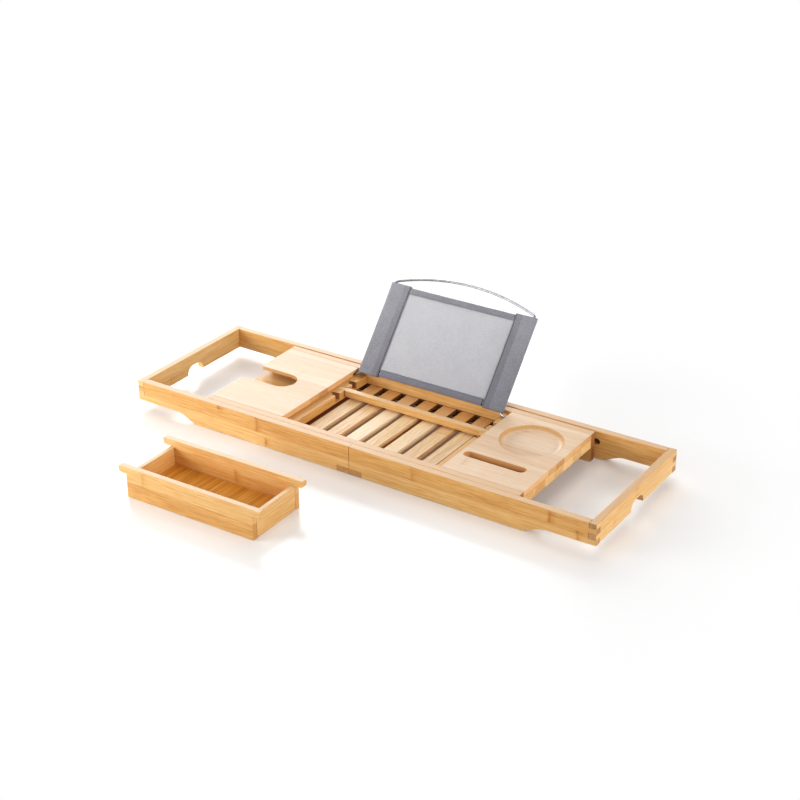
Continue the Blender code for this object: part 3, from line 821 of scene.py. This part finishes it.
@dataclass
class Tray:
    """The small tray in front of the caddy."""

    knot_reach: float = 0.010

    def finish(self) -> None:
        """Dress the tray's pieces."""
        front_y, back_y = (
            sum(corner.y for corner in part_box(name)) / 2
            for name in ("tray_front_board", "tray_back_board")
        )
        knots = (
            Knot(-0.1706, 0.030, self.knot_reach, front_y, 0.7),
            Knot(-0.095, 0.018, self.knot_reach, back_y),
        )
        long = Bamboo("tray_board_bamboo", Grain.LONG_UPRIGHT, TRAY_ENDS, 0.0215, seed=40.0,
                      knots=knots, top_light_share=0.7)
        long.dress("tray_front_board", "tray_back_board")
        end = Bamboo("tray_end_bamboo", Grain.DEEP_UPRIGHT, GOLDEN, 0.021, seed=43.0,
                     ring_pitch=0.17, top_light_share=0.5)
        end.dress("tray_left_end", "tray_right_end")
        floor = Bamboo("tray_floor_bamboo", Grain.DEEP_FLAT, AMBER, 0.0052, seed=47.0,
                       contrast=0.9, strip_contrast=0.36, seam_share=0.5)
        floor.dress("tray_floor")


def round_corners(corners: list[tuple[float, float, float]], step: float) -> list[Vector]:
    """An outline's points, with arcs at its corners.

    Args:
        corners: the x, y and radius of each corner, from end to end.
        step: widest turn between two points.

    Returns:
        The points.
    """
    points = [Vector(corners[0][:2])]
    for before, (x, y, radius), after in zip(corners, corners[1:], corners[2:]):
        corner = Vector((x, y))
        if not radius:
            points.append(corner)
            continue
        back = (Vector(before[:2]) - corner).normalized()
        ahead = (Vector(after[:2]) - corner).normalized()
        half = back.angle(ahead) / 2
        centre = corner + (back + ahead).normalized() * radius / sin(half)
        spoke = corner + back * radius / tan(half) - centre
        turn = copysign(pi - 2 * half, -back.cross(ahead))
        steps = ceil(abs(turn) / step)
        points += [centre + Matrix.Rotation(turn * i / steps, 2) @ spoke for i in range(steps + 1)]
    return points + [Vector(corners[-1][:2])]


def smooth_line(points: Sequence[tuple[float, ...]], parts: int) -> list[tuple[float, ...]]:
    """A smooth line through points.

    Args:
        points: the points, with as many coordinates as are wanted.
        parts: how many parts each stretch between two of them is cut into.

    Returns:
        The line's points.
    """
    ends = [points[0], *points, points[-1]]
    line = []
    for a, b, c, d in zip(ends, ends[1:], ends[2:], ends[3:]):
        for part in range(parts):
            t = part / parts
            line.append(tuple(
                0.5 * (2 * q + (r - p) * t + (2 * p - 5 * q + 4 * r - s) * t ** 2
                       + (3 * q - p - 3 * r + s) * t ** 3)
                for p, q, r, s in zip(a, b, c, d)
            ))
    return line + [points[-1]]


@dataclass
class BookRest:
    """The folding rest: a bent wire, a cross wire, two sleeves, a panel and its hems.

    A point of it is (across, rise, out): from the middle, along the rest from its pivot, and out of
    its front.
    """

    lean: float = radians(50)
    wire: float = 0.0016
    wire_half: float = 0.1108
    stub_half: float = 0.134
    hook: float = 0.008
    corner: float = 0.006
    arch_top: float = 0.160
    arch_radius: float = 0.329
    arch_spans: int = 44
    cross_rise: float = 0.0095
    cloth: float = 0.0005
    sleeve_inner: float = 0.0832
    sleeve_tip: float = 0.1153
    sleeve_turn: float = 0.004  # cloth that the turn round the wire takes up
    sleeve_rise: tuple[float, float] = (0.0035, 0.1384)
    sleeve_hem: float = 0.0065  # height of the turned ends of a sleeve
    sleeve_steps: int = 54
    cross_cover: float = 0.0023  # how far the cross wire lifts a sleeve
    cross_blur: float = 0.0045
    cross_end: float = 0.112
    panel_half: float = 0.0875
    panel_rise: tuple[float, float] = (0.0125, 0.1335)
    panel_sag: float = 0.0009
    panel_columns: int = 60
    panel_steps: int = 44
    hem_end: float = 0.0829
    bottom_hem_end: float = 0.0812
    hem_columns: int = 64
    seam_inset: float = 0.0015  # of the stitches beside a sleeve's edge
    seam_margin: float = 0.002  # from a row's ends to the cloth's
    row_inset: float = 0.001  # from that seam to the rows across a sleeve
    row_end: float = 0.1135
    row_rise: float = 0.008  # of the lower one, from the sleeve's foot
    stitch: float = 0.0019
    stitch_pitch: float = 0.0029
    stitch_radius: float = 0.00022
    matrix: Matrix = field(default_factory=Matrix)

    # in millimetres: distance from the middle and height of a sleeve's front, and where it is cut
    SLEEVE = ((83.2, 1.25), (90.0, 1.55), (93.0, 1.35), (94.0, 1.20), (96.0, 1.55), (101.0, 2.05),
              (107.0, 2.40), (110.8, 2.50), (113.3, 2.10), (114.8, 1.05), (115.2, 0.0))
    SLEEVE_CUTS = (83.2, 86.0, 90.0, 92.6, 94.0, 96.0, 99.0, 103.0, 107.0, 110.8, 113.3, 114.4,
                   115.0)
    # in millimetres: rise and height of a hem's front, up to its fold
    TOP_HEM = ((127.7, 0.85), (129.5, 1.0), (133.0, 1.05), (135.6, 0.85), (136.5, 0.0))
    BOTTOM_HEM = ((15.0, 0.85), (12.7, 1.45), (9.7, 2.25), (6.8, 1.75), (5.3, 0.7), (5.1, 0.0))
    HEM_ROWS = (("top", 0.1293, 0.00098), ("bottom", 0.0137, 0.0011))  # rise and height

    def __post_init__(self) -> None:
        """Find the rest's plane from its hinge."""
        joints = frame["record"]["behaviour"]["joints"]
        pivot = next(joint["pos_m"] for joint in joints if joint["name"] == "book_rest_hinge")
        self.matrix = Matrix.Translation(pivot) @ Matrix.Rotation(self.lean, 4, "X")

    def place(self, name: str, data: bpy.types.ID, material: bpy.types.Material,
              slot: str, *replaced: str) -> bpy.types.Object:
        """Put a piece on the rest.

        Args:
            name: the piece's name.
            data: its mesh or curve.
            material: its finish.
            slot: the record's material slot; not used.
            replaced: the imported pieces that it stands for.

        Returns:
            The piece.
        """
        piece = bpy.data.objects.new(name, data)
        bpy.context.scene.collection.objects.link(piece)
        data.materials.append(material)
        piece.matrix_world = self.matrix
        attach(piece, "book_rest")
        if replaced:
            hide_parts(*replaced)
        LOG.info("%s made", name)
        return piece

    def threads(self, name: str, lines: list[list[tuple[float, float, float]]], radius: float,
                resolution: int) -> bpy.types.Curve:
        """Round threads or wires.

        Args:
            name: the curve's name.
            lines: the (across, rise, out) points of each.
            radius: half of their thickness.
            resolution: how finely they are rounded.

        Returns:
            The curve.
        """
        curve = bpy.data.curves.new(name, "CURVE")
        curve.dimensions = "3D"
        curve.bevel_depth = radius
        curve.bevel_resolution = resolution
        curve.use_fill_caps = True
        for line in lines:
            spline = curve.splines.new("POLY")
            spline.points.add(len(line) - 1)
            for point, place in zip(spline.points, line):
                point.co = (*place, 1)
        return curve

    def tube(self, name: str, path: list[Vector], node: str, material: bpy.types.Material) -> None:
        """A wire along a path in the rest's plane, in place of a packed one."""
        curve = self.threads(name, [[(x, y, 0.0) for x, y in path]], self.wire, 4)
        self.place(name, curve, material, "wire", node)

    def arch_rise(self, across: float) -> float:
        """How far the top wire is from the pivot axis."""
        return self.arch_top - self.arch_radius + sqrt(self.arch_radius ** 2 - across ** 2)

    def wires(self) -> None:
        """The bent frame wire, and the cross wire in the bottom hem."""
        material = Steel().material()
        right = [
            (self.stub_half, 0, 0),
            (self.wire_half, 0, self.hook),
            (self.wire_half, self.arch_rise(self.wire_half), self.corner),
        ]
        spans = range(1, self.arch_spans)
        across = [self.wire_half * (1 - 2 * i / self.arch_spans) for i in spans]
        arch = [(x, self.arch_rise(x), 0) for x in across]
        left = [(-x, rise, radius) for x, rise, radius in reversed(right)]
        path = round_corners(right + arch + left, radians(8))
        self.tube("frame_wire", path, "rest_frame_wire", material)
        end = self.wire_half - self.wire - 0.3 * MM
        cross = [Vector((-end, self.cross_rise)), Vector((end, self.cross_rise))]
        self.tube("cross_wire", cross, "rest_cross_wire", material)

    def sheet(self, name: str, rows: list[list[tuple]], material: bpy.types.Material, slot: str,
              replaced: str) -> None:
        """A piece of cloth from rows of points.

        Args:
            name: the piece's name.
            rows: rows of (across, rise, out) points, all of one length.
            material: its finish.
            slot: the record's material slot.
            replaced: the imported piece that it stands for.
        """
        mesh = bpy.data.meshes.new(name)
        count = len(rows[0])
        faces = [
            (row * count + i, row * count + i + 1, (row + 1) * count + i + 1, (row + 1) * count + i)
            for row in range(len(rows) - 1) for i in range(count - 1)
        ]
        mesh.from_pydata([point for row in rows for point in row], [], faces)
        mesh.shade_smooth()
        piece = self.place(name, mesh, material, slot, replaced)
        skin = piece.modifiers.new("thickness", "SOLIDIFY")
        skin.thickness = self.cloth
        skin.offset = 0

    def ripple(self, across: float, rise: float, size: float) -> float:
        """Small unevenness of the cloth."""
        return noise.noise(Vector((across * 60, rise * 60, 3.1))) * size

    def sleeve_height(self, across: float, rise: float) -> float:
        """How far a sleeve's front stands out of the rest's plane, up to its outer edge.

        Args:
            across: distance from the middle.
            rise: distance from the pivot.

        Returns:
            The distance.
        """
        places, heights = zip(*self.SLEEVE)
        out = float(np.interp(across / MM, places, heights)) * MM
        over_cross = self.cross_cover * exp(-((rise - self.cross_rise) / self.cross_blur) ** 2)
        if across < self.cross_end:
            out = max(out, over_cross)
        ends = min(rise - self.sleeve_rise[0], self.sleeve_rise[1] - rise)
        if ends < self.sleeve_hem:
            out += 0.3 * MM * min(1, (self.sleeve_hem - ends) / 0.0012) * min(1, out / MM)
        return out

    def sleeve(self, name: str, side: int, material: bpy.types.Material) -> None:
        """A sleeve: cloth folded round a side wire, open at both ends.

        Args:
            name: which sleeve.
            side: -1 on the left, 1 on the right.
            material: its finish.
        """
        line = smooth_line([(cut,) for cut in self.SLEEVE_CUTS], 2)
        low, high = self.sleeve_rise
        rows = []
        for i in range(self.sleeve_steps + 1):
            rise = low + (high - low) * i / self.sleeve_steps
            drift = self.ripple(rise, side, 0.2 * MM)
            front = []
            for (across,) in line:
                x = across * MM
                ease = self.ripple(x * side, rise, 0.25 * MM)
                front.append((x + drift, self.sleeve_height(x, rise) + ease))
            back = [(x, -out) for x, out in reversed(front)]
            profile = front + [(self.sleeve_tip, 0.0)] + back
            rows.append([(side * x, rise, out) for x, out in profile])
        self.sheet(f"{name}_sleeve", rows, material, "grey_fabric",
                   f"rest_{name}_sleeve")

    def panel_out(self, across: float, rise: float) -> float:
        """How far the panel stands out of the rest's plane, which it sags behind.

        Args:
            across: distance from the middle.
            rise: distance from the pivot.

        Returns:
            The distance.
        """
        low, high = self.panel_rise
        sag = cos(pi / 2 * across / self.panel_half) * sin(pi * (rise - low) / (high - low))
        return self.ripple(across * 0.6, rise * 0.4 + 5, 0.5 * MM) * sag - self.panel_sag * sag

    def panel(self) -> None:
        """The light cloth between the sleeves and hems."""
        low, high = self.panel_rise
        columns = self.panel_columns
        places = [self.panel_half * (2 * j / columns - 1) for j in range(columns + 1)]
        rows = []
        for i in range(self.panel_steps + 1):
            rise = low + (high - low) * i / self.panel_steps
            rows.append([(x, rise, self.panel_out(x, rise)) for x in places])
        self.sheet("panel", rows, PANEL_CLOTH.material(), "light_fabric",
                   "rest_panel")

    def hem(self, name: str, half: float, profile: tuple[tuple[float, float], ...],
            material: bpy.types.Material, replaced: str) -> None:
        """A hem folded over an edge of the panel.

        Args:
            name: the piece's name.
            half: half of its length.
            profile: (rise, out) in millimetres, from its front edge to the fold.
            material: its finish.
            replaced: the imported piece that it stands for.
        """
        line = smooth_line(profile, 3)
        whole = line + [(rise, -out) for rise, out in reversed(line[:-1])]
        rows = []
        for j in range(self.hem_columns + 1):
            x = half * (2 * j / self.hem_columns - 1)
            row = []
            for rise, out in whole:
                ease = self.ripple(x, rise * MM, 0.22 * MM)
                lift = self.ripple(x + 1, rise * MM, 0.15 * MM)
                row.append((x, rise * MM + ease, out * MM + lift))
            rows.append(row)
        self.sheet(name, rows, material, "grey_fabric", replaced)

    def stitches(self, name: str, start: tuple[float, float], end: tuple[float, float],
                 height: Callable[[float, float], float], material: bpy.types.Material) -> None:
        """A row of stitches, each a short bent thread that dips into the cloth at both ends.

        Args:
            name: the piece's name.
            start: across and rise of one end.
            end: across and rise of the other.
            height: how far the cloth's surface stands out there.
            material: its finish.
        """
        first, last = Vector(start), Vector(end)
        count = int((last - first).length / self.stitch_pitch)
        way = (last - first).normalized()
        lines = []
        for i in range(count):
            middle = first + (last - first) * (i + 0.5) / count
            line = []
            for share in (-0.5, -0.25, 0, 0.25, 0.5):
                x, rise = middle + way * self.stitch * share
                bulge = self.stitch_radius * (1 - 8 * share ** 2)
                line.append((x, rise, height(abs(x), rise) + self.cloth / 2 + bulge))
            lines.append(line)
        curve = self.threads(name, lines, self.stitch_radius, 1)
        self.place(name, curve, material, "grey_fabric")

    def sewing(self) -> None:
        """The rows of stitches that hold the sleeves and hems."""
        material = THREAD.material()
        low, high = self.sleeve_rise
        inner, margin = self.sleeve_inner + self.seam_inset, self.seam_margin
        height = self.sleeve_height
        for name, side in (("left", -1), ("right", 1)):
            seam = (side * inner, low + margin), (side * inner, high - margin)
            self.stitches(f"{name}_seam_stitches", *seam, height, material)
            for end, rise in (("top", high - self.sleeve_hem), ("bottom", low + self.row_rise)):
                row = (side * (inner + self.row_inset), rise), (side * self.row_end, rise)
                self.stitches(f"{name}_{end}_stitches", *row, height, material)
        for name, rise, out in self.HEM_ROWS:
            ends = (-self.hem_end + margin, rise), (self.hem_end - margin, rise)
            self.stitches(f"{name}_hem_stitches", *ends, lambda *_, out=out: out, material)

    def build(self) -> None:
        """Make every piece of the rest."""
        self.wires()
        cloth = GREY_CLOTH.material()
        for name, side in (("left", -1), ("right", 1)):
            self.sleeve(name, side, cloth)
        self.panel()
        self.hem("top_hem", self.hem_end, self.TOP_HEM, cloth, "rest_top_hem")
        self.hem("bottom_hem", self.bottom_hem_end, self.BOTTOM_HEM, cloth, "rest_bottom_hem")
        self.sewing()


@dataclass
class Lamp:
    """A soft lamp that looks at the object."""

    name: str
    azimuth: float  # from the back towards the left, in degrees
    elevation: float
    distance: float
    width: float
    height: float
    radiance: float


@dataclass
class Studio:
    """The camera, the lamps, the pale floor and the white surroundings."""

    azimuth: float = 33.202  # of the photograph's camera, in degrees from the front
    elevation: float = 26.664
    distance: float = 2.2873
    lens: float = 74.28
    target: tuple[float, float, float] = (-0.0611, 0.1638, 0.0)
    surroundings: float = 0.36  # brightness, as they light the object
    floor_radius: float = 6.0
    floor_gap: float = 0.0003
    floor_grey: float = 0.76  # as it lights the object
    floor_white: float = 0.95  # as it is seen
    floor_glow: float = 0.08
    mottle_count: float = 30  # of uneven spots, per metre
    mottle_share: float = 0.02
    fade: tuple[float, float] = (0.41, 0.72)  # from the middle, to where the floor is white
    fade_x: float = -0.03  # the middle of the fade
    fade_squeeze: float = 1.4
    # how far the painted shade reaches past the battens: left, right, in front and behind
    shade_past: tuple[float, float, float, float] = (0.03, 0.006, 0.0, 0.008)
    shade_blur: tuple[float, float] = (0.01, 0.004)  # of its edges, along and across
    shade_turn: tuple[float, float] = (0.064, 0.074)  # where the painted shade grows darker, from their middle
    shade_side: tuple[float, float] = (0.004, -0.006)  # and from their left ends
    shade_bottom: Colour = (0.42, 0.295, 0.22)
    shade_back: Colour = (0.18, 0.055, 0.02)
    shade_left: Colour = (0.22, 0.055, 0.018)
    # the painted shade also glows faintly in its own colour, as painted light
    shade_glow: float = 0.22
    lamps: tuple[Lamp, ...] = (
        Lamp("key", 48, 23, 2.6, 2.0, 1.6, 3.85),
        Lamp("front_left", 138, 13, 1.4, 0.8, 0.5, 10.0),
        Lamp("right_fill", 258, 16, 2.4, 1.6, 1.1, 5.2),
        Lamp("overhead", 20, 72, 2.2, 1.2, 1.2, 2.3),
    )

    def stand(self, data: bpy.types.ID, turn: float, rise: float,
              distance: float) -> bpy.types.Object:
        """Stand a camera or a lamp so that it looks at the target.

        Args:
            data: the camera or lamp.
            turn: its angle round the target, from the front towards the right.
            rise: its angle above the floor.
            distance: how far it is from the target.

        Returns:
            Its object.
        """
        item = bpy.data.objects.new(data.name, data)
        bpy.context.scene.collection.objects.link(item)
        way = Vector((sin(turn) * cos(rise), -cos(turn) * cos(rise), sin(rise)))
        item.location = Vector(self.target) + way * distance
        item.rotation_euler = (pi / 2 - rise, 0, turn)
        return item

    def camera(self) -> None:
        """Stand the camera where the photograph was taken."""
        data = bpy.data.cameras.new("camera")
        data.lens = self.lens
        data.sensor_width = 36
        turn, rise = radians(self.azimuth), radians(self.elevation)
        bpy.context.scene.camera = self.stand(data, turn, rise, self.distance)

    def light(self) -> None:
        """Hang the lamps."""
        for lamp in self.lamps:
            data = bpy.data.lights.new(lamp.name, "AREA")
            data.shape = "RECTANGLE"
            data.size = lamp.width
            data.size_y = lamp.height
            data.energy = lamp.radiance * pi * lamp.width * lamp.height
            turn, rise = radians(lamp.azimuth) + pi, radians(lamp.elevation)
            self.stand(data, turn, rise, lamp.distance).visible_camera = False
            LOG.info("lamp %s hung", lamp.name)

    def seen(self, graph: Graph) -> Signal:
        """1 for the rays that show the surroundings themselves: seen, mirrored or through glass."""
        rays = graph.add("ShaderNodeLightPath", None, None, "Is Camera Ray")
        return rays.most(rays.sibling("Is Glossy Ray")).most(rays.sibling("Is Transmission Ray"))

    def world(self) -> None:
        """White surroundings, which light the object at a plain level."""
        world = bpy.data.worlds.new("studio")
        bpy.context.scene.world = world
        graph = Graph(world)
        strength = self.seen(graph) * (1 - self.surroundings) + self.surroundings
        shader = graph.add("ShaderNodeBackground", None,
                           {"Color": (1, 1, 1, 1), "Strength": strength})
        graph.add("ShaderNodeOutputWorld", None, {"Surface": shader})

    def floor_mesh(self) -> bpy.types.Mesh:
        """Lay the floor, a large disc just under the object.

        Returns:
            Its mesh.
        """
        mesh = bpy.data.meshes.new("floor")
        form = bmesh.new()
        bmesh.ops.create_circle(form, cap_ends=True, segments=96, radius=self.floor_radius)
        form.to_mesh(mesh)
        form.free()
        floor = bpy.data.objects.new("floor", mesh)
        floor.location.z = -self.floor_gap
        bpy.context.scene.collection.objects.link(floor)
        return mesh

    def painted_shade(self, graph: Graph, x: Signal, y: Signal) -> tuple[Signal, Signal]:
        """The part of the floor below the slats, where little light comes, painted dark as shade.

        Args:
            graph: the floor's graph.
            x: place along the caddy.
            y: place across it.

        Returns:
            The part's mask and its shader.
        """
        low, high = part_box("front_slat_batten")[0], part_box("back_slat_batten")[1]
        past = self.shade_past
        left, right = low.x - past[0], high.x + past[1]
        front, back = low.y - past[2], high.y + past[3]
        under = x.near((left + right) / 2, (right - left) / 2, self.shade_blur[0])
        under = under * y.near((front + back) / 2, (back - front) / 2, self.shade_blur[1])
        behind = y.smooth(*((low.y + high.y) / 2 + place for place in self.shade_turn))
        colour = graph.mix(behind, self.shade_bottom, self.shade_back)
        side = x.smooth(*(low.x + place for place in self.shade_side))
        colour = graph.mix(side, colour, self.shade_left)
        return under, graph.add("ShaderNodeBsdfPrincipled", None, {
            "Base Color": colour, "Roughness": 1.0, "Specular IOR Level": 0.0,
            "Emission Color": colour, "Emission Strength": self.shade_glow,
        })

    def floor(self) -> None:
        """A large pale floor that fades to white far from the object."""
        graph = Graph.named("pale_floor")
        x, y, _ = graph.place()
        seen = self.seen(graph)
        mottle = graph.lumps((x, y, 0), (self.mottle_count, self.mottle_count, 1), 3)
        share = seen + mottle * self.mottle_share
        base = graph.mix(share, (self.floor_grey,) * 3, (self.floor_white,) * 3)
        glow = graph.mix(seen, (0, 0, 0), (self.floor_glow,) * 3)
        lit = graph.add("ShaderNodeBsdfPrincipled", None, {
            "Base Color": base, "Roughness": 0.22, "Emission Color": glow, "Emission Strength": 1,
        })
        # painted shade on the floor below the slats
        under, painted_shade = self.painted_shade(graph, x, y)
        near = graph.add("ShaderNodeMixShader", None, {0: under, 1: lit, 2: painted_shade})
        white = graph.add("ShaderNodeEmission", None, {"Color": (1, 1, 1, 1), "Strength": 1})
        away = ((x - self.fade_x) ** 2 + y ** 2 * self.fade_squeeze) ** 0.5
        far = away.smooth(*self.fade) * seen
        both = graph.add("ShaderNodeMixShader", None, {0: far, 1: near, 2: white})
        graph.add("ShaderNodeOutputMaterial", None, {"Surface": both})
        self.floor_mesh().materials.append(graph.owner)

    def build(self) -> None:
        """Set up the whole studio."""
        self.camera()
        self.light()
        self.world()
        self.floor()
        bpy.context.scene.view_settings.view_transform = "Standard"


def main() -> None:
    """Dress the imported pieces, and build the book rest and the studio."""
    logging.basicConfig(level=logging.INFO, format="%(name)s: %(message)s")
    bpy.context.view_layer.update()
    Arms().finish()
    Core().finish()
    Tray().finish()
    BookRest().build()
    Studio().build()
    bpy.context.view_layer.update()


if __name__ == "__main__":
    main()
